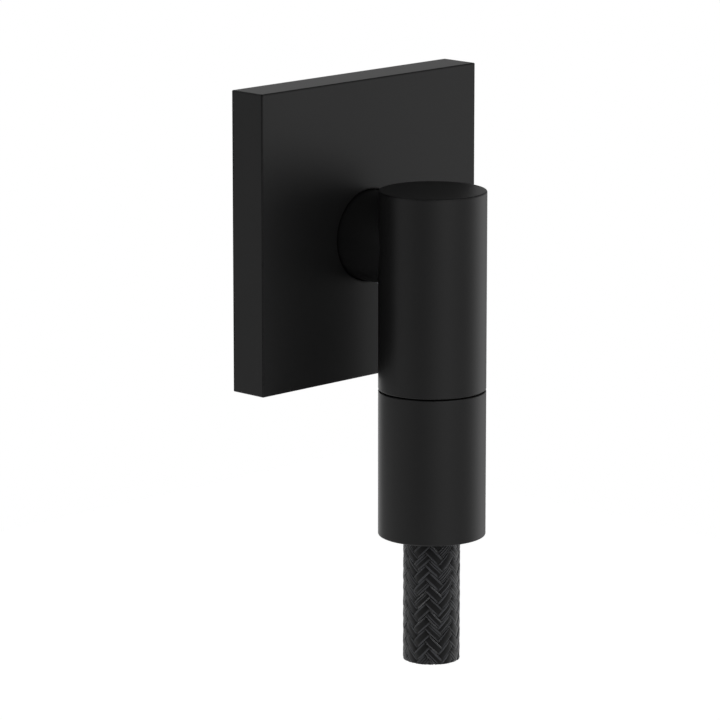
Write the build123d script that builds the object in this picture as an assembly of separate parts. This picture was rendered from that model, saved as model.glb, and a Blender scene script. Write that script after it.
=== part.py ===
import os
from math import cos, pi, radians, sin, sqrt, tan

from build123d import *

# Wall outlet elbow for a hand shower hose, in millimetres.
# The origin is on the inlet axis at the wall plane: +Y goes into the wall, +Z is up,
# and the barrel hangs in front of the wall on the -Y side.

# Wall plate
plate_side = 70.0
plate_depth = 9.7  # front face to wall
plate_rise = 1.7  # plate centre above the inlet axis
plate_face_wall = 3.2
plate_side_wall = 4.0
plate_edge_round = 0.3
plate_boss_wall = 4.0  # boss wall round the neck hole
plate_boss_setback = 2.0  # boss end to wall plane
gasket_width = 2.2
gasket_thickness = 1.5
gasket_clearance = 0.05

# Elbow: neck through the plate, barrel with a flat top
neck_dia = 21.2
neck_setback = 1.0  # neck end to wall plane
neck_end_chamfer = 0.5
neck_gap = 0.3  # open ring between neck and plate
reach = 29.6  # barrel axis to wall plane
barrel_dia = 25.0
barrel_top = 13.0  # flat top above the inlet axis
barrel_drop = 33.4  # inlet axis down to the barrel's lower edge
barrel_top_round = 0.35
split_edge_round = 0.25  # both edges of the split line
waterway_inlet_dia = 9.6
waterway_dia = 11.0
waterway_head = 1.0  # full drill diameter above the inlet bore
drill_point_angle = 118.0

# Half-inch pipe thread, drawn as its major cylinder
thread_dia = 20.955
thread_root_dia = 18.6
thread_clearance = 0.1
thread_chamfer = 1.0
wall_thread_length = 15.0
outlet_thread_length = 11.0

# Wall nipple and the set screw that locks the elbow on it
spigot_dia = 16.0
spigot_length = 18.0  # shoulder to spigot end
spigot_clearance = 0.03
spigot_end_room = 0.4
spigot_chamfer = 0.6
nipple_bore_dia = 10.0
nipple_key_across = 10.0
nipple_key_depth = 8.5
nipple_oring_places = {"inner": 3.6, "outer": 6.8}  # shoulder to groove middle
screw_place = 13.4  # wall plane to screw axis
screw_dia = 5.0
screw_clearance = 0.03
screw_recess = 0.15
screw_point_chamfer = 0.8
screw_key_across = 2.5
screw_key_depth = 2.0
screw_groove_width = 5.6
screw_groove_depth = 1.59

# Seals: each ring is drawn at the height its groove squeezes it to
seal_gap = 0.01
nipple_groove_depth = 1.2
nipple_groove_width = 1.9
plate_groove_depth = 1.6
plate_groove_width = 2.4
plate_groove_place = 4.4  # wall plane to groove middle
valve_groove_depth = 0.95
valve_groove_width = 1.7

# Backflow cartridge in the outlet thread
valve_bore_dia = 14.0
valve_bore_room = 0.5  # above the housing
valve_clearance = 0.05
valve_length = 22.0
valve_flange_dia = 16.2
valve_flange_height = 1.6
valve_seat_wall = 3.0
valve_seat_hole_dia = 7.5
valve_chamber_dia = 11.0
guide_seat = 0.4  # guide edge behind the chamber wall, on the radius
guide_snap = 0.2  # lip that holds the guide, on the radius
guide_clearance = 0.04
guide_ring_wall = 0.9
guide_ring_height = 2.4
guide_hub_dia = 7.4
guide_hub_height = 4.0
guide_spokes = 3
guide_spoke_width = 1.6
guide_place = 13.6  # housing top to guide top
poppet_travel = 3.0
poppet_head_dia = 9.6
poppet_head_height = 1.4
poppet_nose_dia = 6.2
poppet_nose_height = 1.1
poppet_collar_dia = 4.6
poppet_stem_dia = 3.0
poppet_stem_below_guide = 0.6
stem_clearance = 0.05
stop_clearance = 0.05
valve_seal_dia = 9.3
valve_seal_bore = 5.2
valve_seal_thickness = 0.8
seat_gap = 0.02
spring_wire = 0.5
spring_mean_dia = 6.0
spring_turns = 5.5

# Hose connection
split_gap = 0.3
nut_length = 34.2
nut_low_round = 0.3
nut_floor = 3.5
hose_exit_gap = 0.45
washer_dia = 18.4
washer_bore = 12.0
washer_thickness = 2.0
tail_collar_height = 2.8
tail_bore = 6.4
tail_neck_dia = 9.6
tail_barb_bite = 0.5  # barb crest into the free liner bore, on the radius
tail_barb_height = 0.35
tail_barbs = 5
tail_plain_length = 1.3  # shank above the first barb
tail_below_ferrule = 1.4
slip_ring_height = 0.8
slip_ring_clearance = 0.15
ferrule_wall = 1.2
ferrule_floor_room = 0.8  # ferrule end to nut floor
ferrule_clearance = 0.1
ferrule_crimps = 3
ferrule_crimp_width = 1.4
ferrule_crimp_depth = 0.3
nut_bore_clearance = 0.3
fit_gap = 0.04

# Hose with its braided sleeve
hose_showing = 29.8  # below the nut
liner_bore = 8.0
liner_wall = 1.45
sleeve_wall = 0.66
braid_relief = 0.4  # yarn crest over the sleeve
braid_columns = 14  # herringbone columns round the hose
braid_angle = 44.0  # yarn to hose axis
braid_phase = 228.6  # direction of the first column
braid_lift = 1.65  # moves the pattern up the hose
yarn_gap = 0.16  # between floats, at their foot
yarn_side_taper = 14.0

# Levels and radii that follow from the sizes above
neck_radius = neck_dia / 2
thread_radius = thread_dia / 2
spigot_radius = spigot_dia / 2
neck_bore_radius = spigot_radius + spigot_clearance
nipple_shoulder = -neck_setback
spigot_end = nipple_shoulder - spigot_length
barrel_low = -barrel_drop
outlet_end = barrel_low - outlet_thread_length
valve_top = outlet_end + valve_length
valve_seat = valve_top - valve_seat_wall
valve_radius = valve_bore_dia / 2 - valve_clearance
guide_top = valve_top - guide_place
poppet_seal_top = valve_seat - seat_gap
poppet_head_top = poppet_seal_top - valve_seal_thickness
poppet_head_low = poppet_head_top - poppet_head_height
washer_low = outlet_end - washer_thickness
collar_low = washer_low - tail_collar_height
nut_top = barrel_low - split_gap
nut_low = nut_top - nut_length
nut_shoulder = collar_low - slip_ring_height
nut_floor_top = nut_low + nut_floor
liner_radius = liner_bore / 2 + liner_wall
sleeve_bore_radius = liner_radius + fit_gap
sleeve_radius = sleeve_bore_radius + sleeve_wall
hose_radius = sleeve_radius + braid_relief
hose_end = nut_low - hose_showing
ferrule_top = collar_low - fit_gap
ferrule_end_low = ferrule_top - ferrule_wall
ferrule_low = nut_floor_top + ferrule_floor_room
ferrule_bore_radius = hose_radius + ferrule_clearance
ferrule_radius = ferrule_bore_radius + ferrule_wall
nut_bore_radius = ferrule_radius + nut_bore_clearance
hose_top = ferrule_end_low - fit_gap
tail_barb_radius = liner_bore / 2 + tail_barb_bite
tail_barb_start = hose_top - tail_plain_length
tail_end = ferrule_low - tail_below_ferrule
tail_barb_pitch = (tail_barb_start - tail_end) / tail_barbs


def inlet_cylinder(radius, y_from, y_to):
    upright = Cylinder(radius, y_to - y_from, align=(Align.CENTER, Align.CENTER, Align.MIN))
    return Pos(0, y_from, 0) * Rot(X=-90) * upright


def barrel_cylinder(radius, z_from, z_to):
    upright = Cylinder(radius, z_to - z_from, align=(Align.CENTER, Align.CENTER, Align.MIN))
    return Pos(0, -reach, z_from) * upright


def on_inlet(upright):
    # turns a piece made about Z so that its Z lies along the inlet axis
    return Rot(X=-90) * upright


def on_barrel(upright):
    return Pos(0, -reach, 0) * upright


def turned(outline):
    # revolves a closed outline of (radius, height) points about Z
    points = [(radius, 0, height) for radius, height in outline]
    return revolve(make_face(Polyline(*points, close=True)), Axis.Z)


def ring_groove(inner_radius, outer_radius, middle, width):
    low, high = middle - width / 2, middle + width / 2
    return turned([(inner_radius, low), (outer_radius, low), (outer_radius, high), (inner_radius, high)])


def seal_ring(inner_wall, outer_wall):
    section = outer_wall - inner_wall - 2 * seal_gap
    return Torus((inner_wall + outer_wall) / 2, section / 2)


def top_edges(solid):
    return solid.edges().group_by(Axis.Z)[-1]


def low_edges(solid):
    return solid.edges().group_by(Axis.Z)[0]


# Wall plate and its seals
plate_bore_radius = neck_radius + neck_gap
plate_groove_radius = plate_bore_radius + plate_groove_depth
rebate_side = plate_side - 2 * (plate_side_wall - gasket_width)
cavity_side = plate_side - 2 * plate_side_wall


def square_block(side, y_from, y_to):
    return Pos(0, (y_from + y_to) / 2, plate_rise) * Box(side, y_to - y_from, side)


def wall_plate():
    blank = square_block(plate_side, -plate_depth, 0)
    wall_edges = blank.edges().group_by(Axis.Y)[-1]
    seen_edges = [edge for edge in blank.edges() if edge not in wall_edges]
    blank = fillet(seen_edges, plate_edge_round)
    cavity_floor = plate_face_wall - plate_depth
    shell = blank - square_block(cavity_side, cavity_floor, 0)
    shell -= square_block(rebate_side, -gasket_thickness, 0)
    shell += inlet_cylinder(plate_bore_radius + plate_boss_wall, cavity_floor, -plate_boss_setback)
    shell -= inlet_cylinder(plate_bore_radius, -plate_depth, 0)
    shell -= on_inlet(ring_groove(neck_radius, plate_groove_radius, -plate_groove_place, plate_groove_width))
    return shell


def plate_gasket():
    frame_side = rebate_side - 2 * gasket_clearance
    frame = square_block(frame_side, -gasket_thickness, 0)
    return frame - square_block(frame_side - 2 * gasket_width, -gasket_thickness, 0)


def plate_oring():
    return on_inlet(Pos(0, 0, -plate_groove_place) * seal_ring(neck_radius, plate_groove_radius))


# Elbow body
def screw_cylinder(radius, depth_from, depth_to):
    # a cylinder that stands under the neck on the set screw's axis
    upright = Cylinder(radius, depth_to - depth_from, align=(Align.CENTER, Align.CENTER, Align.MIN))
    return Pos(0, -screw_place, -depth_to) * upright


def elbow_body():
    barrel = barrel_cylinder(barrel_dia / 2, barrel_low, barrel_top)
    barrel = fillet(top_edges(barrel), barrel_top_round)
    barrel = fillet(low_edges(barrel), split_edge_round)
    neck = inlet_cylinder(neck_radius, -reach, -neck_setback)
    neck = chamfer(neck.edges().group_by(Axis.Y)[-1], neck_end_chamfer)
    outlet = barrel_cylinder(thread_radius, outlet_end, 0)
    outlet = chamfer(low_edges(outlet), thread_chamfer)
    body = barrel + neck + outlet

    drill_point = waterway_dia / 2 / tan(radians(drill_point_angle / 2))
    waterway_top = waterway_inlet_dia / 2 + waterway_head
    waterway = turned(
        [
            (0, outlet_end),
            (waterway_dia / 2, outlet_end),
            (waterway_dia / 2, waterway_top),
            (0, waterway_top + drill_point),
        ]
    )
    body -= on_barrel(waterway)
    body -= barrel_cylinder(valve_bore_dia / 2, outlet_end, valve_top + valve_bore_room)
    flange_bore = valve_flange_dia / 2 + valve_clearance
    body -= barrel_cylinder(flange_bore, outlet_end, outlet_end + valve_flange_height)
    body -= inlet_cylinder(waterway_inlet_dia / 2, -reach, spigot_end)
    body -= inlet_cylinder(neck_bore_radius, spigot_end - spigot_end_room, 0)
    body -= screw_cylinder(screw_dia / 2 + screw_clearance, 0, neck_dia)
    return body


# Wall nipple
screw_groove_radius = spigot_radius - screw_groove_depth
screw_tip = screw_groove_radius + fit_gap
screw_outer_end = neck_radius - screw_recess
nipple_groove_radius = spigot_radius - nipple_groove_depth


def wall_nipple():
    bore = nipple_bore_dia / 2
    blank = turned(
        [
            (bore, wall_thread_length),
            (thread_radius - thread_chamfer, wall_thread_length),
            (thread_radius, wall_thread_length - thread_chamfer),
            (thread_radius, 0),
            (thread_root_dia / 2, 0),
            (thread_root_dia / 2, nipple_shoulder),
            (spigot_radius, nipple_shoulder),
            (spigot_radius, spigot_end + spigot_chamfer),
            (spigot_radius - spigot_chamfer, spigot_end),
            (bore, spigot_end),
        ]
    )
    for place in nipple_oring_places.values():
        middle = nipple_shoulder - place
        blank -= ring_groove(nipple_groove_radius, spigot_dia, middle, nipple_groove_width)
    blank -= ring_groove(screw_groove_radius, spigot_dia, -screw_place, screw_groove_width)
    key = RegularPolygon(nipple_key_across / 2, 6, major_radius=False)
    blank -= Pos(0, 0, spigot_end) * extrude(key, nipple_key_depth)
    return on_inlet(blank)


def nipple_oring(place):
    ring = seal_ring(nipple_groove_radius, neck_bore_radius)
    return on_inlet(Pos(0, 0, nipple_shoulder - place) * ring)


def set_screw():
    screw = screw_cylinder(screw_dia / 2, screw_tip, screw_outer_end)
    screw = chamfer(top_edges(screw), screw_point_chamfer)
    key = RegularPolygon(screw_key_across / 2, 6, major_radius=False)
    return screw - Pos(0, -screw_place, -screw_outer_end) * extrude(key, screw_key_depth)


# Backflow cartridge: the housing is held in the outlet thread by the hose washer
valve_groove_middle = (valve_top + valve_seat) / 2
valve_groove_radius = valve_radius - valve_groove_depth
guide_pocket_low = guide_top - guide_ring_height - guide_clearance
guide_radius = valve_chamber_dia / 2 + guide_seat


def check_valve_housing():
    pocket = guide_radius + guide_clearance
    lip = guide_radius - guide_snap
    chamber = valve_chamber_dia / 2
    flange_top = outlet_end + valve_flange_height
    housing = turned(
        [
            (valve_seat_hole_dia / 2, valve_top),
            (valve_radius, valve_top),
            (valve_radius, flange_top),
            (valve_flange_dia / 2, flange_top),
            (valve_flange_dia / 2, outlet_end),
            (lip, outlet_end),
            (lip, guide_pocket_low),
            (pocket, guide_pocket_low),
            (pocket, guide_top),
            (chamber, guide_top),
            (chamber, valve_seat),
            (valve_seat_hole_dia / 2, valve_seat),
        ]
    )
    housing -= ring_groove(valve_groove_radius, valve_bore_dia, valve_groove_middle, valve_groove_width)
    return on_barrel(housing)


def check_valve_oring():
    ring = seal_ring(valve_groove_radius, valve_bore_dia / 2)
    return on_barrel(Pos(0, 0, valve_groove_middle) * ring)


def check_valve_guide():
    ring_low = guide_top - guide_ring_height
    outer, inner = guide_radius, guide_radius - guide_ring_wall
    ring = turned([(inner, ring_low), (outer, ring_low), (outer, guide_top), (inner, guide_top)])
    hub = Pos(0, 0, guide_top - guide_hub_height / 2) * Cylinder(guide_hub_dia / 2, guide_hub_height)
    spoke_length = (outer + inner) / 2
    spoke = Pos(spoke_length / 2, 0, (guide_top + ring_low) / 2)
    spoke *= Box(spoke_length, guide_spoke_width, guide_ring_height)
    guide = ring + hub
    for index in range(guide_spokes):
        guide += Rot(Z=index * 360 / guide_spokes) * spoke
    stem_bore = Cylinder(poppet_stem_dia / 2 + stem_clearance, guide_hub_height)
    guide -= Pos(0, 0, guide_top - guide_hub_height / 2) * stem_bore
    return on_barrel(guide)


def check_valve_poppet():
    head, collar, stem = poppet_head_dia / 2, poppet_collar_dia / 2, poppet_stem_dia / 2
    seal_bore = valve_seal_bore / 2 - fit_gap
    nose_low = poppet_seal_top + seat_gap
    collar_end = guide_top + poppet_travel + stop_clearance
    stem_end = guide_top - guide_hub_height - poppet_stem_below_guide
    stem_chamfer = stem / 2
    side = Polyline(
        (0, 0, nose_low + poppet_nose_height),
        (0, 0, stem_end),
        (stem - stem_chamfer, 0, stem_end),
        (stem, 0, stem_end + stem_chamfer),
        (stem, 0, collar_end),
        (collar, 0, collar_end),
        (collar, 0, poppet_head_low),
        (head, 0, poppet_head_low),
        (head, 0, poppet_head_top),
        (seal_bore, 0, poppet_head_top),
        (seal_bore, 0, nose_low),
        (poppet_nose_dia / 2, 0, nose_low),
    )
    # the nose is a low dome that stands in the seat hole
    nose_radius = poppet_nose_dia / 2
    dome_radius = (nose_radius**2 + poppet_nose_height**2) / (2 * poppet_nose_height)
    dome_drop = dome_radius - sqrt(dome_radius**2 - (nose_radius / 2) ** 2)
    dome_middle = (nose_radius / 2, 0, nose_low + poppet_nose_height - dome_drop)
    nose = ThreePointArc(side @ 1, dome_middle, side @ 0)
    return on_barrel(revolve(make_face(side.edges() + nose.edges()), Axis.Z))


def check_valve_seal():
    inner, outer = valve_seal_bore / 2, valve_seal_dia / 2
    return on_barrel(
        turned(
            [
                (inner, poppet_head_top),
                (outer, poppet_head_top),
                (outer, poppet_seal_top),
                (inner, poppet_seal_top),
            ]
        )
    )


def check_valve_spring():
    low, high = guide_top + seat_gap, poppet_head_low - seat_gap
    height = high - low
    coil = Helix(height / spring_turns, height, spring_mean_dia / 2, center=(0, 0, low))
    wire = Plane(origin=coil @ 0, z_dir=coil % 0) * Circle(spring_wire / 2)
    spring = sweep(wire, path=coil, is_frenet=True)
    # both ends are ground flat on their seats
    ground = Pos(0, 0, (low + high) / 2) * Cylinder(spring_mean_dia, height)
    return on_barrel(spring & ground)


# Hose connection
def outlet_washer():
    inner, outer = washer_bore / 2, washer_dia / 2
    return on_barrel(
        turned([(inner, washer_low), (outer, washer_low), (outer, outlet_end), (inner, outlet_end)])
    )


def hose_nut():
    outer = barrel_dia / 2
    thread_bore = thread_radius + thread_clearance
    exit_bore = hose_radius + hose_exit_gap
    nut = turned(
        [
            (thread_bore, nut_top),
            (outer, nut_top),
            (outer, nut_low),
            (exit_bore, nut_low),
            (exit_bore, nut_floor_top),
            (nut_bore_radius, nut_floor_top),
            (nut_bore_radius, nut_shoulder),
            (thread_bore, nut_shoulder),
        ]
    )
    nut = fillet(top_edges(nut), split_edge_round)
    nut = fillet(low_edges(nut), nut_low_round)
    return on_barrel(nut)


def nut_slip_ring():
    inner = ferrule_radius + slip_ring_clearance
    outer = thread_radius + thread_clearance - slip_ring_clearance
    return on_barrel(
        turned([(inner, nut_shoulder), (outer, nut_shoulder), (outer, collar_low), (inner, collar_low)])
    )


def hose_tail():
    bore, neck, collar = tail_bore / 2, tail_neck_dia / 2, washer_dia / 2
    crest = tail_barb_radius
    root = crest - tail_barb_height
    outline = [(bore, tail_end), (bore, washer_low), (collar, washer_low), (collar, collar_low)]
    outline += [(neck, collar_low), (neck, hose_top), (root, hose_top), (root, tail_barb_start)]
    for index in range(tail_barbs):
        barb_top = tail_barb_start - index * tail_barb_pitch
        outline += [(crest, barb_top), (root, barb_top - tail_barb_pitch)]
    return on_barrel(turned(outline))


def hose_ferrule():
    inner, outer = ferrule_bore_radius, ferrule_radius
    hook = tail_neck_dia / 2 + fit_gap
    cup = turned(
        [
            (hook, ferrule_top),
            (outer, ferrule_top),
            (outer, ferrule_low),
            (inner, ferrule_low),
            (inner, ferrule_end_low),
            (hook, ferrule_end_low),
        ]
    )
    crimp_step = (ferrule_end_low - ferrule_low) / (ferrule_crimps + 1)
    for index in range(ferrule_crimps):
        middle = ferrule_low + (index + 1) * crimp_step
        cup -= ring_groove(outer - ferrule_crimp_depth, 2 * outer, middle, ferrule_crimp_width)
    return on_barrel(cup)


def hose_liner():
    outer, free_bore = liner_radius, liner_bore / 2
    tail_side = tail_barb_radius + fit_gap
    return on_barrel(
        turned(
            [
                (tail_side, hose_top),
                (outer, hose_top),
                (outer, hose_end),
                (free_bore, hose_end),
                (free_bore, tail_end - fit_gap),
                (tail_side, tail_end - fit_gap),
            ]
        )
    )


# Braided sleeve: each yarn passes over two others and under two. Its floats are slanted blocks,
# two yarns long, and neighbouring columns lean opposite ways and interlock as a herringbone.
column_turn = 360 / braid_columns
column_width = 2 * pi * hose_radius / braid_columns
float_spacing = column_width / tan(radians(braid_angle))
yarn_step = column_width / 2 / sin(radians(braid_angle))  # one crossing to the next


def braid_float(lean):
    half_long = yarn_step - yarn_gap / 2
    half_wide = (yarn_step - yarn_gap) / 2
    turn, rise = sin(radians(braid_angle)), lean * cos(radians(braid_angle))
    far, near = (half_long + half_wide) * turn, (half_long - half_wide) * turn
    high, low = (half_long + half_wide) * rise, (half_long - half_wide) * rise
    # the foot lies just inside the sleeve, also under the far corners
    root = sqrt(sleeve_radius**2 - far**2) - fit_gap
    tangent_plane = Plane(origin=(root, 0, 0), x_dir=(0, 1, 0), z_dir=(1, 0, 0))
    outline = Polyline((far, low), (near, high), (-far, -low), (-near, -high), close=True)
    pad_height = hose_radius - root + braid_relief
    pad = extrude(tangent_plane * make_face(outline), pad_height, taper=yarn_side_taper)
    return pad & Cylinder(hose_radius, 4 * float_spacing)


def hose_braid():
    inner, outer = sleeve_bore_radius, sleeve_radius
    sleeve = turned([(inner, hose_end), (outer, hose_end), (outer, hose_top), (inner, hose_top)])
    floats_tall = int((nut_floor_top - hose_end) / float_spacing) + 1
    pads = []
    for column in range(braid_columns):
        lean = -1 if column % 2 == 0 else 1
        shift = 0 if column % 2 == 0 else 0.5
        pad = braid_float(lean)
        for index in range(-1, floats_tall):
            height = hose_end + braid_lift + (index + shift) * float_spacing
            pads.append(Rot(Z=braid_phase + column * column_turn) * Pos(0, 0, height) * pad)
    below_cut = Pos(0, 0, hose_end) * Cylinder(
        2 * hose_radius, 4 * float_spacing, align=(Align.CENTER, Align.CENTER, Align.MAX)
    )
    return on_barrel(sleeve + pads - below_cut)


pieces = {
    "wall_plate": wall_plate(),
    "plate_gasket": plate_gasket(),
    "plate_oring": plate_oring(),
    "elbow_body": elbow_body(),
    "wall_nipple": wall_nipple(),
    "set_screw": set_screw(),
    "check_valve_housing": check_valve_housing(),
    "check_valve_oring": check_valve_oring(),
    "check_valve_guide": check_valve_guide(),
    "check_valve_poppet": check_valve_poppet(),
    "check_valve_seal": check_valve_seal(),
    "check_valve_spring": check_valve_spring(),
    "outlet_washer": outlet_washer(),
    "hose_nut": hose_nut(),
    "nut_slip_ring": nut_slip_ring(),
    "hose_tail": hose_tail(),
    "hose_ferrule": hose_ferrule(),
    "hose_liner": hose_liner(),
    "hose_braid": hose_braid(),
}
for end, place in nipple_oring_places.items():
    pieces[f"nipple_oring_{end}"] = nipple_oring(place)

os.makedirs("parts", exist_ok=True)
for name, piece in pieces.items():
    export_step(piece, f"parts/{name}.step")
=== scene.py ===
import math
import random

import bmesh
import bpy
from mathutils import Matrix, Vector


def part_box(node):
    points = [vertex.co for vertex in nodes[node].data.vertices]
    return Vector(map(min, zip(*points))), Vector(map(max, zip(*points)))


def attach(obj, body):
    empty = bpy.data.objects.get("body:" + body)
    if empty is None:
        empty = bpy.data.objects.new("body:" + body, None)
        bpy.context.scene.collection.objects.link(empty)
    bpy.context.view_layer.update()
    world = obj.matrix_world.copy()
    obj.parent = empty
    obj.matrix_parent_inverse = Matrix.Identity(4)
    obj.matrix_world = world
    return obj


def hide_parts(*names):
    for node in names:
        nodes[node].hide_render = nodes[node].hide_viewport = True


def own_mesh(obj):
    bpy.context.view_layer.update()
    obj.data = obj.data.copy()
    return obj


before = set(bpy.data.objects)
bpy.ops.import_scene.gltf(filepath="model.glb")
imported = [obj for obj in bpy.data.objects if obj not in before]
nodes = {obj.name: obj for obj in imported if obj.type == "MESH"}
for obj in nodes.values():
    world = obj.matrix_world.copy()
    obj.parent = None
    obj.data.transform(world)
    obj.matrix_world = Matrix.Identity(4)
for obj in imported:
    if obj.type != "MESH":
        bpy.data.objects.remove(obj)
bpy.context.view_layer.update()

mm = 0.001  # sizes in the dictionaries are in millimetres, and Blender's in metres
print("frame loaded:", len(nodes), "pieces from the CAD")


# node helpers, used by the groups and the materials

mixSlots = {"FLOAT": (0, 2, 3, 0), "RGBA": (0, 6, 7, 2)}  # a Mix node's factor, two inputs and result


def addNode(tree, kind, **settings):
    node = tree.nodes.new(kind)
    for key, value in settings.items():
        setattr(node, key, value)
    return node


def setInputs(node, values):
    for key, value in values.items():
        node.inputs[key].default_value = value
    return node


def feed(tree, socket, value):
    # a link from another node, or a plain number or colour
    if hasattr(value, "is_output"):
        tree.links.new(value, socket)
    else:
        socket.default_value = value


def mathNode(tree, operation, first, second=None):
    node = addNode(tree, "ShaderNodeMath", operation=operation)
    feed(tree, node.inputs[0], first)
    if second is not None:
        feed(tree, node.inputs[1], second)
    return node.outputs[0]


def mixNode(tree, kind, factor, first, second):
    node = addNode(tree, "ShaderNodeMix", data_type=kind)
    *slots, result = mixSlots[kind]
    for slot, value in zip(slots, (factor, first, second)):
        feed(tree, node.inputs[slot], value)
    return node.outputs[result]


def rangeNode(tree, value, span, toSpan=(0.0, 1.0)):
    node = addNode(tree, "ShaderNodeMapRange", clamp=True)
    tree.links.new(value, node.inputs["Value"])
    setInputs(node, dict(zip(("From Min", "From Max", "To Min", "To Max"), span + toSpan)))
    return node.outputs["Result"]


def objectPlace(tree):
    return addNode(tree, "ShaderNodeTexCoord").outputs["Object"]


def axisNode(tree, axis):
    # one of a piece's own coordinates
    split = addNode(tree, "ShaderNodeSeparateXYZ")
    tree.links.new(objectPlace(tree), split.inputs[0])
    return split.outputs[axis]


def attributeNode(tree, name):
    # a value that the mesh carries at its points
    return addNode(tree, "ShaderNodeAttribute", attribute_name=name).outputs["Fac"]


def noiseNode(tree, scale, detail=2.0):
    node = addNode(tree, "ShaderNodeTexNoise")
    tree.links.new(objectPlace(tree), node.inputs["Vector"])
    node.inputs["Detail"].default_value = detail
    feed(tree, node.inputs["Scale"], scale)
    return node.outputs["Fac"]


def newGroup(name, inputs, outputs):
    tree = bpy.data.node_groups.new(name, "ShaderNodeTree")
    for label, value in inputs.items():
        kind = "NodeSocketColor" if isinstance(value, tuple) else "NodeSocketFloat"
        socket = tree.interface.new_socket(label, in_out="INPUT", socket_type=kind)
        socket.default_value = value
    for label, kind in outputs.items():
        tree.interface.new_socket(label, in_out="OUTPUT", socket_type=kind)
    return tree, addNode(tree, "NodeGroupInput"), addNode(tree, "NodeGroupOutput")


def placeGroup(tree, group, values):
    return setInputs(addNode(tree, "ShaderNodeGroup", node_tree=group), values)


# shared effects, each built once

effect = {
    "cloudSpan": (0.32, 0.68),  # part of the noise that is stretched from one tone to the other
    "speckSpan": (0.35, 0.65),
    "roughScale": 45.0,
    "edgeSamples": 8,
    "edgeSpan": (0.94, 0.8),  # openness inside the piece, away from an edge and on it
    "breakSpan": (0.35, 0.6),
    "ringNoise": 700.0,  # scale of the unevenness of fine rings
}


def makeToneGroup():
    # a colour that drifts a little between two tones, with finer specks in it
    tree, start, end = newGroup(
        "toneDrift",
        {"Tone": (0.5, 0.5, 0.5, 1), "Other Tone": (0.4, 0.4, 0.4, 1), "Cloud Scale": 60.0,
         "Speck Scale": 2600.0, "Speck Share": 0.3},
        {"Color": "NodeSocketColor"},
    )
    cloud = rangeNode(tree, noiseNode(tree, start.outputs["Cloud Scale"]), effect["cloudSpan"])
    specks = rangeNode(tree, noiseNode(tree, start.outputs["Speck Scale"], detail=1.0), effect["speckSpan"])
    share = mixNode(tree, "FLOAT", start.outputs["Speck Share"], cloud, specks)
    colour = mixNode(tree, "RGBA", share, start.outputs["Tone"], start.outputs["Other Tone"])
    tree.links.new(colour, end.inputs["Color"])
    return tree


def makeGrainGroup():
    # fine surface height, and a roughness that drifts over the piece
    tree, start, end = newGroup(
        "fineGrain",
        {"Grain Scale": 2200.0, "Wave Scale": 500.0, "Wave Share": 0.4, "Roughness": 0.5, "Drift": 0.04},
        {"Height": "NodeSocketFloat", "Roughness": "NodeSocketFloat"},
    )
    grain = noiseNode(tree, start.outputs["Grain Scale"])
    wave = noiseNode(tree, start.outputs["Wave Scale"], detail=1.0)
    height = mixNode(tree, "FLOAT", start.outputs["Wave Share"], grain, wave)
    tree.links.new(height, end.inputs["Height"])
    drift = mathNode(tree, "SUBTRACT", noiseNode(tree, effect["roughScale"], detail=3.0), 0.5)
    drift = mathNode(tree, "MULTIPLY", drift, start.outputs["Drift"])
    tree.links.new(mathNode(tree, "ADD", drift, start.outputs["Roughness"]), end.inputs["Roughness"])
    return tree


def makeEdgeGroup():
    # a mask of narrow outside edges, found from inside the piece, where another wall is near; it marks worn
    # edges, and the coat's painted edge shade
    tree, start, end = newGroup(
        "edgeWearAndShadeMask",
        {"Width": 0.4 * mm, "Amount": 0.5, "Break Up": 900.0, "Least": 0.0},
        {"Mask": "NodeSocketFloat"},
    )
    near = addNode(tree, "ShaderNodeAmbientOcclusion", inside=True, only_local=True)
    near.samples = effect["edgeSamples"]
    tree.links.new(start.outputs["Width"], near.inputs["Distance"])
    edge = rangeNode(tree, near.outputs["AO"], effect["edgeSpan"])
    broken = rangeNode(tree, noiseNode(tree, start.outputs["Break Up"], detail=3.0), effect["breakSpan"])
    kept = mathNode(tree, "MAXIMUM", broken, start.outputs["Least"])
    mask = mathNode(tree, "MULTIPLY", edge, kept)
    tree.links.new(mathNode(tree, "MULTIPLY", mask, start.outputs["Amount"]), end.inputs["Mask"])
    return tree


def makeRingGroup():
    # fine rings along the coordinate that is fed in, for a lathe's marks and a yarn's fibres
    tree, start, end = newGroup(
        "fineRings", {"Along": 0.0, "Rings per Metre": 6000.0}, {"Height": "NodeSocketFloat"}
    )
    phase = mathNode(tree, "MULTIPLY", start.outputs["Along"], start.outputs["Rings per Metre"])
    rings = mathNode(tree, "SINE", mathNode(tree, "MULTIPLY", phase, math.tau))
    uneven = noiseNode(tree, effect["ringNoise"])
    height = mathNode(tree, "MULTIPLY", mathNode(tree, "ADD", rings, 1.0), uneven)
    tree.links.new(height, end.inputs["Height"])
    return tree


toneDrift = makeToneGroup()
fineGrain = makeGrainGroup()
edgeWearAndShadeMask = makeEdgeGroup()
fineRings = makeRingGroup()
print("shared node groups made")


# steps that the materials share; a finish has tone, other, clouds, roughness, roughDrift and bump

def startMaterial(name, settings):
    made = bpy.data.materials.new(name)
    made.use_nodes = True
    tree = made.node_tree
    tree.nodes.clear()
    end = addNode(tree, "ShaderNodeOutputMaterial")
    shader = setInputs(addNode(tree, "ShaderNodeBsdfPrincipled"), settings)
    tree.links.new(shader.outputs["BSDF"], end.inputs["Surface"])
    return made, tree, shader


def toneFrom(tree, finish):
    tones = {"Tone": finish["tone"], "Other Tone": finish["other"]}
    return placeGroup(tree, toneDrift, tones | finish["clouds"]).outputs["Color"]


def roughenFrom(tree, shader, finish):
    # links the roughness, and gives back the grain's height
    grain = placeGroup(tree, fineGrain, {"Roughness": finish["roughness"], "Drift": finish["roughDrift"]})
    tree.links.new(grain.outputs["Roughness"], shader.inputs["Roughness"])
    return grain.outputs["Height"]


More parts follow.
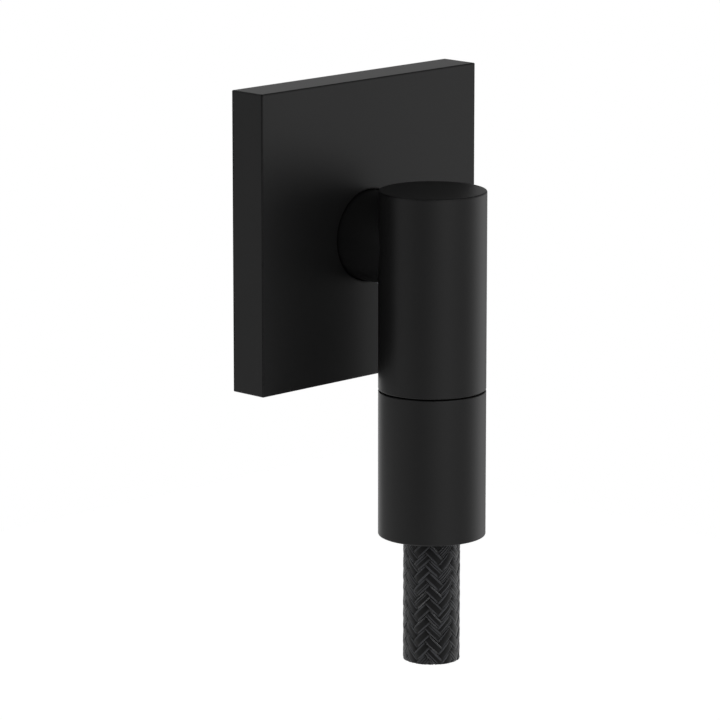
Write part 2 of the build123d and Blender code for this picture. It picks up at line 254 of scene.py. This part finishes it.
def ringsFrom(tree, along, ringsPerMetre):
    rings = placeGroup(tree, fineRings, {"Rings per Metre": ringsPerMetre})
    tree.links.new(along, rings.inputs["Along"])
    return rings.outputs["Height"]


def bumpFrom(tree, shader, height, finish):
    strength, depth = finish["bump"]
    bump = setInputs(addNode(tree, "ShaderNodeBump"), {"Strength": strength, "Distance": depth * mm})
    tree.links.new(height, bump.inputs["Height"])
    tree.links.new(bump.outputs["Normal"], shader.inputs["Normal"])


def dress(names, made):
    for name in names:
        slots = nodes[name].data.materials
        slots.clear()
        slots.append(made)


# satin black powder coat on plate, elbow and nut

coat = {
    "tone": (0.0064, 0.0064, 0.0066, 1),
    "other": (0.008, 0.008, 0.0082, 1),
    "clouds": {"Cloud Scale": 40.0, "Speck Scale": 3200.0},
    "shine": 0.25,  # specular level
    "roughness": 0.39,
    "roughDrift": 0.03,
    "bump": (0.05, 0.05),  # strength and depth
    "edges": {"Width": 0.45 * mm, "Amount": 0.85, "Least": 0.8},  # where the edges get painted shade, a dark line for the reflection of a rounded edge
    # near-black tone of the coat's painted edge shade
    "edgeWearAndShadeTone": (0.0015, 0.0015, 0.0016, 1),
    "edgeFade": 2.0,  # rise above the split line by which the edges are fully dark
}


def makeCoat():
    made, tree, shader = startMaterial("satinBlackCoat", {"Specular IOR Level": coat["shine"]})
    edge = placeGroup(tree, edgeWearAndShadeMask, coat["edges"])
    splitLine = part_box("hose_nut")[1].z
    above = rangeNode(tree, axisNode(tree, "Z"), (splitLine, splitLine + coat["edgeFade"] * mm))
    # painted shade: the edges above the split line turn near black, for the dark reflection of a rounded
    # edge
    paintedEdgeShade = mathNode(tree, "MULTIPLY", edge.outputs["Mask"], above)
    colour = mixNode(tree, "RGBA", paintedEdgeShade, toneFrom(tree, coat), coat["edgeWearAndShadeTone"])
    tree.links.new(colour, shader.inputs["Base Color"])
    tree.links.new(paintedEdgeShade, shader.inputs["Metallic"])  # the painted shade also feeds Metallic, so the edges reflect least and show as a dark line
    bumpFrom(tree, shader, roughenFrom(tree, shader, coat), coat)
    return made


dress(["wall_plate", "elbow_body", "hose_nut"], makeCoat())
print("coat on plate, elbow and nut")


# rubber of the rings, the washer and the hose's inner tube

rubber = {
    "seal": {"tone": (0.03, 0.03, 0.031, 1), "other": (0.042, 0.042, 0.043, 1), "roughness": 0.55},
    "tube": {"tone": (0.02, 0.02, 0.021, 1), "other": (0.032, 0.032, 0.033, 1), "roughness": 0.7},
    "clouds": {"Cloud Scale": 220.0, "Speck Share": 0.5},
    "shine": 0.4,
    "roughDrift": 0.12,
    "bump": (0.15, 0.04),
}


def makeRubber(name, kind):
    finish = rubber | rubber[kind]
    made, tree, shader = startMaterial(name, {"Specular IOR Level": finish["shine"]})
    tree.links.new(toneFrom(tree, finish), shader.inputs["Base Color"])
    bumpFrom(tree, shader, roughenFrom(tree, shader, finish), finish)
    return made


dress(
    ["plate_oring", "nipple_oring_inner", "nipple_oring_outer", "check_valve_oring",
     "check_valve_seal", "outlet_washer"],
    makeRubber("sealRubber", "seal"),
)
dress(["hose_liner"], makeRubber("hoseRubber", "tube"))


# closed-cell foam frame behind the plate

foam = {
    "tone": (0.05, 0.05, 0.052, 1),
    "other": (0.075, 0.075, 0.077, 1),
    "clouds": {"Cloud Scale": 160.0},
    "shine": 0.2,
    "sheen": 0.08,
    "roughness": 0.86,
    "roughDrift": 0.1,
    "bump": (0.5, 0.1),
    "cellsPerMetre": 3200.0,
    "cellSpan": (0.05, 0.5),  # from a cell's middle to its wall
    "cellShare": (0.55, 1.0),  # how much of the foam's own tone shows at both; the rest is painted shade in the pores
    "paintedPoreShadeTone": (0.02, 0.02, 0.021, 1),
}


def makeFoam():
    settings = {"Specular IOR Level": foam["shine"], "Sheen Weight": foam["sheen"]}
    made, tree, shader = startMaterial("foamGasket", settings)
    cells = addNode(tree, "ShaderNodeTexVoronoi")
    tree.links.new(objectPlace(tree), cells.inputs["Vector"])
    cells.inputs["Scale"].default_value = foam["cellsPerMetre"]
    own = rangeNode(tree, cells.outputs["Distance"], foam["cellSpan"], foam["cellShare"])
    # painted shade: the hollow middle of each cell is darker
    colour = mixNode(tree, "RGBA", own, foam["paintedPoreShadeTone"], toneFrom(tree, foam))
    tree.links.new(colour, shader.inputs["Base Color"])
    roughenFrom(tree, shader, foam)
    bumpFrom(tree, shader, cells.outputs["Distance"], foam)
    return made


dress(["plate_gasket"], makeFoam())


# turned brass and bright steel

metal = {
    "brass": {
        "tone": (0.78, 0.6, 0.32, 1),
        "other": (0.62, 0.44, 0.2, 1),
        "roughness": 0.27,
        "ringsPerMetre": 5200.0,
    },
    "steel": {
        "tone": (0.6, 0.6, 0.61, 1),
        "other": (0.48, 0.48, 0.5, 1),
        "roughness": 0.3,
        "ringsPerMetre": 4200.0,
    },
    "clouds": {"Cloud Scale": 120.0, "Speck Share": 0.15},
    "roughDrift": 0.16,
    "bump": (0.18, 0.03),
    "edges": {"Width": 0.25 * mm, "Amount": 0.5},
    "edgeGain": 1.15,  # edges are rubbed brighter
}


def makeMetal(name, kind, axis):
    finish = metal | metal[kind]
    made, tree, shader = startMaterial(name, {"Metallic": 1.0})
    edge = placeGroup(tree, edgeWearAndShadeMask, finish["edges"])
    bright = tuple(min(1.0, channel * finish["edgeGain"]) for channel in finish["tone"])
    colour = mixNode(tree, "RGBA", edge.outputs["Mask"], toneFrom(tree, finish), bright)
    tree.links.new(colour, shader.inputs["Base Color"])
    roughenFrom(tree, shader, finish)
    bumpFrom(tree, shader, ringsFrom(tree, axisNode(tree, axis), finish["ringsPerMetre"]), finish)
    return made


brassAlongInlet = makeMetal("turnedBrassInlet", "brass", "Y")
dress(["hose_tail"], makeMetal("turnedBrassTail", "brass", "Z"))
steelAlongBarrel = makeMetal("brightSteel", "steel", "Z")
dress(["set_screw", "hose_ferrule", "check_valve_spring"], steelAlongBarrel)


# moulded plastic of the backflow cartridge and the nut's slip ring

plastic = {
    "tone": (0.8, 0.8, 0.77, 1),
    "other": (0.72, 0.72, 0.69, 1),
    "clouds": {"Cloud Scale": 180.0, "Speck Share": 0.1},
    "shine": 0.45,
    "roughness": 0.42,
    "roughDrift": 0.08,
    "bump": (0.12, 0.03),
    "edges": {"Width": 0.2 * mm, "Amount": 0.3},
    "edgeWearAndShadeTone": (0.88, 0.88, 0.86, 1),
}


def makePlastic():
    made, tree, shader = startMaterial("mouldedPlastic", {"Specular IOR Level": plastic["shine"]})
    edge = placeGroup(tree, edgeWearAndShadeMask, plastic["edges"])
    colour = mixNode(tree, "RGBA", edge.outputs["Mask"], toneFrom(tree, plastic), plastic["edgeWearAndShadeTone"])
    tree.links.new(colour, shader.inputs["Base Color"])
    bumpFrom(tree, shader, roughenFrom(tree, shader, plastic), plastic)
    return made


dress(["check_valve_housing", "check_valve_guide", "check_valve_poppet", "nut_slip_ring"], makePlastic())
print("rubber, foam, metal and plastic done")


# mesh helpers, used by the nipple, the spring and the braid

def bandBetween(mesh, ring, after):
    # faces from one ring of points to the next
    count = len(ring)
    corners = [(corner, (corner + 1) % count) for corner in range(count)]
    return [mesh.faces.new((ring[a], ring[b], after[b], after[a])) for a, b in corners]


def closeRound(mesh, columns):
    # closed outlines, one after the other round an axis
    for column, after in zip(columns, columns[1:] + columns[:1]):
        bandBetween(mesh, column, after)


def cutSquare(mesh, low, high):
    # cuts both ends off level and closes them
    for height, outward in ((low, -1), (high, 1)):
        everything = mesh.verts[:] + mesh.edges[:] + mesh.faces[:]
        cut = bmesh.ops.bisect_plane(
            mesh, geom=everything, plane_co=(0, 0, height), plane_no=(0, 0, outward), clear_outer=True
        )
        rim = [item for item in cut["geom_cut"] if isinstance(item, bmesh.types.BMEdge)]
        bmesh.ops.holes_fill(mesh, edges=rim)


def finishMesh(name, mesh, materials, replaced, sharpAngle):
    # turns a bmesh into a piece that rides on the fitting and stands for a CAD node
    bmesh.ops.recalc_face_normals(mesh, faces=mesh.faces)
    data = bpy.data.meshes.new(name)
    mesh.to_mesh(data)
    mesh.free()
    for made in materials:
        data.materials.append(made)
    data.polygons.foreach_set("use_smooth", [True] * len(data.polygons))
    data.set_sharp_from_angle(angle=math.radians(sharpAngle))
    piece = bpy.data.objects.new(name, data)
    bpy.context.scene.collection.objects.link(piece)
    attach(piece, "fitting")
    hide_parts(replaced)
    print(name, len(data.polygons), "faces")
    return piece


# wall nipple with its half-inch pipe thread, the key socket and the seal grooves

nipple = {  # places are along the inlet, from the wall plane into the wall
    "pitch": 1.814,
    "threadDepth": 1.16,
    "threadRadius": 10.4775,
    "threadEnd": 15.0,
    "chamfer": 1.0,
    "crestFlat": 0.14,  # share of half a pitch that is level, at the crest and at the root
    "crestRound": 0.35,  # how far the flanks' ends are rounded
    "reliefRadius": 9.3,
    "shoulder": -1.0,
    "spigotRadius": 8.0,
    "spigotEnd": -19.0,
    "spigotChamfer": 0.6,
    "grooves": ((-4.6, 1.9, 6.8), (-7.8, 1.9, 6.8), (-13.4, 5.6, 6.41)),  # middle, width, radius
    "boreRadius": 5.0,
    "keySides": 6,
    "keyFlat": 5.02,
    "keyEnd": -10.5,
    "sides": 120,
    "rowsPerPitch": 12,
    "sharpAngle": 35.0,
}


def threadRadiusAt(along, turn):
    phase = (along / nipple["pitch"] - turn / math.tau) % 1.0
    flat, soft = nipple["crestFlat"], nipple["crestRound"]
    flank = min(1.0, max(0.0, (abs(2 * phase - 1) - flat) / (1 - 2 * flat)))
    flank = flank * flank * (3 - 2 * flank) * soft + flank * (1 - soft)  # crests and roots a little round
    cut = nipple["threadRadius"] - nipple["threadDepth"] * flank
    return min(cut, nipple["threadRadius"] - nipple["chamfer"] + nipple["threadEnd"] - along)


def spigotOutline():
    # from the thread's end to the tip, as pairs of radius and place
    spigot, chamfer = nipple["spigotRadius"], nipple["spigotChamfer"]
    outline = [(nipple["reliefRadius"], 0.0), (nipple["reliefRadius"], nipple["shoulder"])]
    outline += [(spigot, nipple["shoulder"])]
    for middle, width, radius in nipple["grooves"]:
        outline += [(spigot, middle + width / 2), (radius, middle + width / 2)]
        outline += [(radius, middle - width / 2), (spigot, middle - width / 2)]
    return outline + [(spigot, nipple["spigotEnd"] + chamfer), (spigot - chamfer, nipple["spigotEnd"])]


def makeNipple():
    mesh = bmesh.new()
    rows = int(nipple["threadEnd"] / nipple["pitch"] * nipple["rowsPerPitch"])
    alongs = [nipple["threadEnd"] * (1 - row / rows) for row in range(rows + 1)]
    spigot = spigotOutline()
    bore, halfSide = nipple["boreRadius"], math.pi / nipple["keySides"]
    columns = []
    for step in range(nipple["sides"]):
        turn = step * math.tau / nipple["sides"]
        keyTurn = (turn + halfSide) % (2 * halfSide) - halfSide
        keyRadius = nipple["keyFlat"] / math.cos(keyTurn)
        outline = [(threadRadiusAt(along, turn), along) for along in alongs] + spigot
        outline += [(keyRadius, nipple["spigotEnd"]), (keyRadius, nipple["keyEnd"])]
        outline += [(bore, nipple["keyEnd"]), (bore, nipple["threadEnd"])]
        columns.append([
            mesh.verts.new((r * mm * math.sin(turn), y * mm, r * mm * math.cos(turn))) for r, y in outline
        ])
    closeRound(mesh, columns)
    sharpAngle = nipple["sharpAngle"]
    finishMesh("threadedNipple", mesh, [brassAlongInlet], "wall_nipple", sharpAngle)


makeNipple()


# spring of the backflow valve, built at its length in the CAD; the real one shortens as the poppet opens

spring = {
    "wire": 0.5,
    "turns": 5.5,
    "stepsPerTurn": 32,
    "wireSides": 10,
    "joint": "poppet_slide",
    "sharpAngle": 40.0,
}


def makeSpring():
    low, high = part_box("check_valve_spring")
    middle = Vector(((low.x + high.x) / 2, (low.y + high.y) / 2, 0))
    height, wireRadius = high.z - low.z, spring["wire"] / 2 * mm
    coilRadius = (high.x - low.x) / 2 - wireRadius
    mesh = bmesh.new()
    rings = []
    steps = int(spring["turns"] * spring["stepsPerTurn"])
    for step in range(steps + 1):
        turn = math.tau * step / spring["stepsPerTurn"]
        outward = Vector((math.cos(turn), math.sin(turn), 0))
        ahead = Vector((-math.sin(turn), math.cos(turn), 0)) * coilRadius * math.tau * spring["turns"]
        upward = outward.cross(ahead + Vector((0, 0, height))).normalized()
        centre = middle + outward * coilRadius + Vector((0, 0, low.z + height * step / steps))
        sides = [math.tau * side / spring["wireSides"] for side in range(spring["wireSides"])]
        rings.append([
            mesh.verts.new(centre + (outward * math.cos(side) + upward * math.sin(side)) * wireRadius)
            for side in sides
        ])
    for ring, after in zip(rings, rings[1:]):
        bandBetween(mesh, ring, after)
    mesh.faces.new(rings[0])
    mesh.faces.new(rings[-1])
    cutSquare(mesh, low.z, high.z)
    sharpAngle = spring["sharpAngle"]
    piece = finishMesh("valveSpring", mesh, [steelAlongBarrel], "check_valve_spring", sharpAngle)
    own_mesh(piece)


makeSpring()


# yarns of the braided sleeve: a flat dark core, and strands along its edges and inside it, whose lighter
# tone is a painted highlight

yarn = {
    "core": {
        "tone": (0.003, 0.0031, 0.0033, 1),
        "other": (0.006, 0.0062, 0.0066, 1),
        "shine": 0.03,
        "fibresPerMetre": 3600.0,
    },
    # the strands are real round filaments, and their lighter tone is painted highlight
    "strand": {
        "tone": (0.017, 0.0175, 0.019, 1),
        "other": (0.036, 0.0373, 0.0418, 1),
        "shine": 0.16,
        "fibresPerMetre": 2500.0,
    },
    "clouds": {"Cloud Scale": 420.0, "Speck Scale": 6000.0},
    "sheen": {"Sheen Weight": 0.6, "Sheen Roughness": 0.48},
    "roughness": 0.42,
    "roughDrift": 0.1,
    "bump": (0.3, 0.04),
    "paintedSunkShadeTone": (0.001, 0.001, 0.001, 1),  # painted shade, where a yarn dives under another
}


def makeYarn(name, kind):
    finish = yarn | yarn[kind]
    made, tree, shader = startMaterial(name, {"Specular IOR Level": finish["shine"]} | finish["sheen"])
    shade, sunk = attributeNode(tree, "floatShade"), attributeNode(tree, "sunkShade")
    colour = mixNode(tree, "RGBA", shade, toneFrom(tree, finish), finish["other"])
    # painted shade where the yarn dives under the others
    colour = mixNode(tree, "RGBA", sunk, colour, finish["paintedSunkShadeTone"])
    tree.links.new(colour, shader.inputs["Base Color"])
    roughenFrom(tree, shader, finish)
    fibres = ringsFrom(tree, attributeNode(tree, "alongYarn"), finish["fibresPerMetre"])
    bumpFrom(tree, shader, fibres, finish)
    return made


yarnMaterials = [makeYarn("yarnCore", "core"), makeYarn("yarnStrandPaintedHighlight", "strand")]


# braided sleeve: yarns that rise and yarns that fall, two over and two under

braid = {
    "carriers": 14,  # each way, and as many herringbone columns
    "repeat": 4,  # crossings, two over and two under
    "yarnAngle": 44.0,  # to the hose's axis
    "columnTurn": 228.6,  # direction of a column whose yarns fall to the right
    "floatHeight": -74.72,  # middle of one float in that column
    "middleRadius": 6.27,
    "lift": 0.2,  # over and under, from the middle
    "steepness": 2.4,  # how sharply a yarn dives
    "overrun": 2,  # crossings past both ends, before they are cut
    "coreWidth": 1.3,
    "coreThick": 0.16,
    "coreCrown": 0.03,
    "coreSide": 0.6,  # top of its sides, as a share of half the thickness
    "coreShoulder": 0.6,  # share of half the width where the crown is still high
    "edgePlace": 0.79,  # from the yarn's middle
    "edgeSize": (0.2, 0.17),  # half width and half height of an edge strand
    "edgeSides": 6,
    "edgeSpread": 0.35,  # how much edge strands differ in width
    "innerPlace": 0.27,
    "innerSize": (0.15, 0.09),
    "innerSides": 5,
    "innerRise": 0.1,  # where an inner strand comes to the top
    "innerShare": 0.22,  # floats on which it does
    "wideShade": 0.4,  # how much lighter a wide strand is painted, as more painted highlight
    "sunkBelow": 0.9,  # share of the lift under which a yarn is painted darker as it dives, as painted shade
    "sway": 0.03,
    "swayWaves": (0.9, 2.1),  # turns of two waves for each crossing, in radians
    "backing": (5.47, 5.9),  # inner and outer radius
    "backingSides": 64,
    "stepsPerCrossing": 6,
    "sharpAngle": 60.0,
    "seed": 11,
}


def measureBraid():
    # what both ways of yarn share
    low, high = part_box("hose_braid")
    columnTurn = math.tau / braid["carriers"]
    columnWide = (high.x - low.x) / 2 / mm * columnTurn
    yarnAngle = math.radians(braid["yarnAngle"])
    spacing = columnWide / math.tan(yarnAngle)
    columnPlace = math.radians(braid["columnTurn"]) / columnTurn
    fallStart = (braid["floatHeight"] / spacing + columnPlace) % 1.0
    floatMiddle = 2.5  # a falling yarn lies on top from 1.5 to 3.5
    return {
        "low": low.z,  # this and the next two in metres, as the frame has them
        "high": high.z,
        "axisY": (low.y + high.y) / 2,
        "columnTurn": columnTurn,
        "spacing": spacing,  # floats of one column
        "pitch": columnWide * math.cos(yarnAngle),  # yarn to yarn, across them
        "fallStart": fallStart,  # this and the next in crossings
        "riseStart": (2 * columnPlace - floatMiddle - fallStart) % braid["repeat"],
    }


weave = measureBraid()


def liftAt(crossing, rising):
    # +1 on top of the other yarns and -1 under them, for two crossings each
    steep = braid["steepness"]
    over = math.tanh(steep * math.sin(math.pi * (crossing + 0.5) / 2)) / math.tanh(steep)
    return over if rising else -over


def floatNumber(crossing, rising):
    # counts a yarn's floats, and changes while the yarn is under the others
    underMiddle = -1.5 if rising else 0.5
    return math.floor((crossing - underMiddle) / braid["repeat"])


def yarnReach(index, rising):
    # where a yarn starts and stops along itself
    riseStart, fallStart, overrun = weave["riseStart"], weave["fallStart"], braid["overrun"]
    lowRow, highRow = (weave[end] / mm / weave["spacing"] for end in ("low", "high"))
    middle = index + riseStart - fallStart if rising else index + fallStart - riseStart
    ends = (2 * lowRow, 2 * highRow) if rising else (-2 * highRow, -2 * lowRow)
    return middle + ends[0] - overrun, middle + ends[1] + overrun


def placeOnHose(index, along, across, height, rising):
    # from a yarn's own coordinates to the hose's
    own = index + across / weave["pitch"]
    rise, fall = (own, along) if rising else (along, own)
    turn = (rise + fall + weave["riseStart"] + weave["fallStart"]) / 2 * weave["columnTurn"]
    row = (fall + weave["fallStart"] - rise - weave["riseStart"]) / 2
    r = (braid["middleRadius"] + braid["lift"] * liftAt(index + along, rising) + height) * mm
    return (r * math.cos(turn), weave["axisY"] + r * math.sin(turn), row * weave["spacing"] * mm)


def ovalRing(sides, size):
    turns = [corner * math.tau / sides for corner in range(sides)]
    return [(size[0] * math.cos(turn), size[1] * math.sin(turn)) for turn in turns]


def coreRing():
    half, thick, crown = braid["coreWidth"] / 2, braid["coreThick"] / 2, braid["coreCrown"]
    side, shoulder = thick * braid["coreSide"], half * braid["coreShoulder"]
    slope = thick + crown * (1 - braid["coreShoulder"] ** 2)
    ring = [(-half, -thick), (0, -thick), (half, -thick), (half, side)]
    ring += [(shoulder, slope), (0, thick + crown)]
    return ring + [(-shoulder, slope), (-half, side)]


def yarnStrands():
    # kind, place across the yarn, outline and material of each strand
    edge = ovalRing(braid["edgeSides"], braid["edgeSize"])
    inner = ovalRing(braid["innerSides"], braid["innerSize"])
    return [
        ("core", 0.0, coreRing(), 0),
        ("edge", -braid["edgePlace"], edge, 1),
        ("edge", braid["edgePlace"], edge, 1),
        ("inner", -braid["innerPlace"], inner, 1),
        ("inner", braid["innerPlace"], inner, 1),
    ]


def addStrand(mesh, layers, strand, index, rising, waves, unsteady):
    # one strand along one yarn, with its own shade and width on each float
    kind, middle, outline, slotIndex = strand
    start, stop = yarnReach(index, rising)
    floats = range(floatNumber(index + start, rising), floatNumber(index + stop, rising) + 1)
    shades = {number: unsteady.random() for number in floats}
    widths = {number: 1 + braid["edgeSpread"] * unsteady.uniform(-1, 1) for number in floats}
    risen = {number: unsteady.random() < braid["innerShare"] for number in floats}
    before = None
    for step in range(int((stop - start) * braid["stepsPerCrossing"]) + 1):
        along = start + step / braid["stepsPerCrossing"]
        number = floatNumber(index + along, rising)
        wide = widths[number] if kind == "edge" else 1.0
        raised = braid["innerRise"] if kind == "inner" and risen[number] else 0.0
        swing = sum(math.sin(along * rate + wave) for rate, wave in zip(braid["swayWaves"], waves))
        across = middle + braid["sway"] * swing
        carried = {
            "alongYarn": along * weave["pitch"] * mm,
            "floatShade": shades[number] * (1 + braid["wideShade"] * (wide - 1)),
            # how much painted shade the yarn gets where it dives
            "sunkShade": min(1.0, max(0.0, 1 - liftAt(index + along, rising) / braid["sunkBelow"])),
        }
        ring = []
        for x, y in outline:
            vertex = mesh.verts.new(placeOnHose(index, along, across + x * wide, y + raised, rising))
            for label, layer in layers.items():
                vertex[layer] = carried[label]
            ring.append(vertex)
        if before:
            for face in bandBetween(mesh, before, ring):
                face.material_index = slotIndex
        before = ring


def addBacking(mesh):
    # dark tube under the yarns, seen in the holes between them and at the cut end
    inner, outer = (radius * mm for radius in braid["backing"])
    low, high, axisY = weave["low"], weave["high"], weave["axisY"]
    outline = [(inner, low), (outer, low), (outer, high), (inner, high)]
    columns = []
    for step in range(braid["backingSides"]):
        turn = step * math.tau / braid["backingSides"]
        columns.append([
            mesh.verts.new((r * math.cos(turn), axisY + r * math.sin(turn), z)) for r, z in outline
        ])
    closeRound(mesh, columns)


def makeBraid(name, rising):
    mesh = bmesh.new()
    labels = ("alongYarn", "floatShade", "sunkShade")
    layers = {label: mesh.verts.layers.float.new(label) for label in labels}
    unsteady = random.Random(braid["seed"] + rising)
    for index in range(braid["carriers"]):
        waves = [unsteady.uniform(0, math.tau) for _ in braid["swayWaves"]]
        for strand in yarnStrands():
            addStrand(mesh, layers, strand, index, rising, waves, unsteady)
    if not rising:
        addBacking(mesh)
    cutSquare(mesh, weave["low"], weave["high"])
    finishMesh(name, mesh, yarnMaterials, "hose_braid", braid["sharpAngle"])


makeBraid("braidRising", True)
makeBraid("braidFalling", False)
print("braid woven")


# camera at the photograph's place

view = {
    "place": (-756.39, -756.38, 196.05),
    "yaw": 45.234,  # from +Y towards +X
    "pitch": 11.991,  # downwards
    "lens": 232.63,
    "sensor": 36.0,
    "clip": (10.0, 50000.0),
}


def directionOf(azimuth, elevation):
    azimuth, elevation = math.radians(azimuth), math.radians(elevation)
    level = math.cos(elevation)
    return Vector((math.sin(azimuth) * level, math.cos(azimuth) * level, math.sin(elevation)))


def makeCamera():
    data = bpy.data.cameras.new("photoView")
    data.lens, data.sensor_width, data.sensor_fit = view["lens"], view["sensor"], "HORIZONTAL"
    data.clip_start, data.clip_end = (distance * mm for distance in view["clip"])
    camera = bpy.data.objects.new("photoView", data)
    camera.location = Vector(view["place"]) * mm
    camera.rotation_mode = "QUATERNION"
    camera.rotation_quaternion = directionOf(view["yaw"], -view["pitch"]).to_track_quat("-Z", "Y")
    bpy.context.scene.collection.objects.link(camera)
    bpy.context.scene.camera = camera


makeCamera()


# pale floor well below the fitting

floor = {
    "height": -450.0,
    "side": 2400.0,
    "cells": 8,
    "tone": (0.8, 0.8, 0.8, 1),
    "other": (0.78, 0.78, 0.78, 1),
    "clouds": {"Cloud Scale": 6.0},
    "glow": 0.62,  # to the camera, gloss and glass
}


def floorMaterial():
    made = bpy.data.materials.new("paleFloor")
    made.use_nodes = True
    tree = made.node_tree
    tree.nodes.clear()
    end = addNode(tree, "ShaderNodeOutputMaterial")
    pale = addNode(tree, "ShaderNodeBsdfDiffuse")
    tree.links.new(toneFrom(tree, floor), pale.inputs["Color"])
    seen = addNode(tree, "ShaderNodeLightPath")
    shown = mathNode(tree, "MAXIMUM", seen.outputs["Is Camera Ray"], seen.outputs["Is Glossy Ray"])
    shown = mathNode(tree, "MAXIMUM", shown, seen.outputs["Is Transmission Ray"])
    glow = addNode(tree, "ShaderNodeEmission")
    tree.links.new(mathNode(tree, "MULTIPLY", shown, floor["glow"]), glow.inputs["Strength"])
    both = addNode(tree, "ShaderNodeAddShader")
    tree.links.new(pale.outputs[0], both.inputs[0])
    tree.links.new(glow.outputs[0], both.inputs[1])
    clear = addNode(tree, "ShaderNodeBsdfTransparent")
    side = addNode(tree, "ShaderNodeNewGeometry")
    whole = addNode(tree, "ShaderNodeMixShader")  # open from below, so the underside can be looked at
    tree.links.new(side.outputs["Backfacing"], whole.inputs[0])
    tree.links.new(both.outputs[0], whole.inputs[1])
    tree.links.new(clear.outputs[0], whole.inputs[2])
    tree.links.new(whole.outputs[0], end.inputs["Surface"])
    return made


def makeFloor():
    mesh = bmesh.new()
    cells, half = floor["cells"], floor["side"] / 2 * mm
    bmesh.ops.create_grid(mesh, x_segments=cells, y_segments=cells, size=half)
    bmesh.ops.translate(mesh, verts=mesh.verts, vec=(0, 0, floor["height"] * mm))
    data = bpy.data.meshes.new("paleFloor")
    mesh.to_mesh(data)
    mesh.free()
    data.materials.append(floorMaterial())
    ground = bpy.data.objects.new("paleFloor", data)
    bpy.context.scene.collection.objects.link(ground)


makeFloor()


# soft studio light: a dim even room with six soft lights, and white behind the fitting

studio = {
    "room": 0.13,
    "lights": {  # azimuth from +Y towards +X, elevation, strength, and softness: more is narrower
        "front": (180.0, 22.0, 0.9, 4.5),
        "frontStrip": (199.0, 14.0, 1.4, 13.0),
        "right": (108.5, -12.0, 1.5, 8.0),
        "back": (28.0, -7.0, 1.06, 12.0),
        "left": (283.0, 14.0, 0.75, 10.0),
        "leftBack": (326.0, 22.0, 0.62, 4.5),
    },
    "backdrop": (14.0, 9.0),  # degrees from the view's middle, where its white begins and is full
}


def makeRoom():
    world = bpy.data.worlds.new("paleRoom")
    bpy.context.scene.world = world
    world.use_nodes = True
    tree = world.node_tree
    tree.nodes.clear()
    end = addNode(tree, "ShaderNodeOutputWorld")
    place = addNode(tree, "ShaderNodeTexCoord")

    def towards(azimuth, elevation):
        # 1 straight at a direction, and less away from it
        node = addNode(tree, "ShaderNodeVectorMath", operation="DOT_PRODUCT")
        tree.links.new(place.outputs["Generated"], node.inputs[0])
        node.inputs[1].default_value = directionOf(azimuth, elevation)
        return node.outputs["Value"]

    total = studio["room"]
    for azimuth, elevation, strength, softness in studio["lights"].values():
        away = mathNode(tree, "SUBTRACT", towards(azimuth, elevation), 1.0)
        lobe = mathNode(tree, "EXPONENT", mathNode(tree, "MULTIPLY", away, softness))
        total = mathNode(tree, "ADD", mathNode(tree, "MULTIPLY", lobe, strength), total)
    # white to the camera and through glass, and to gloss where it looks straight at the backdrop
    span = tuple(math.cos(math.radians(angle)) for angle in studio["backdrop"])
    backdrop = rangeNode(tree, towards(view["yaw"], -view["pitch"]), span)
    seen = addNode(tree, "ShaderNodeLightPath")
    glossy = mathNode(tree, "MULTIPLY", seen.outputs["Is Glossy Ray"], backdrop)
    shown = mathNode(tree, "MAXIMUM", seen.outputs["Is Camera Ray"], seen.outputs["Is Transmission Ray"])
    level = mixNode(tree, "FLOAT", mathNode(tree, "MAXIMUM", shown, glossy), total, 1.0)
    room = setInputs(addNode(tree, "ShaderNodeBackground"), {"Color": (1, 1, 1, 1)})
    tree.links.new(level, room.inputs["Strength"])
    tree.links.new(room.outputs[0], end.inputs["Surface"])


makeRoom()
bpy.context.scene.view_settings.view_transform = "Standard"
print("camera, floor and light set")
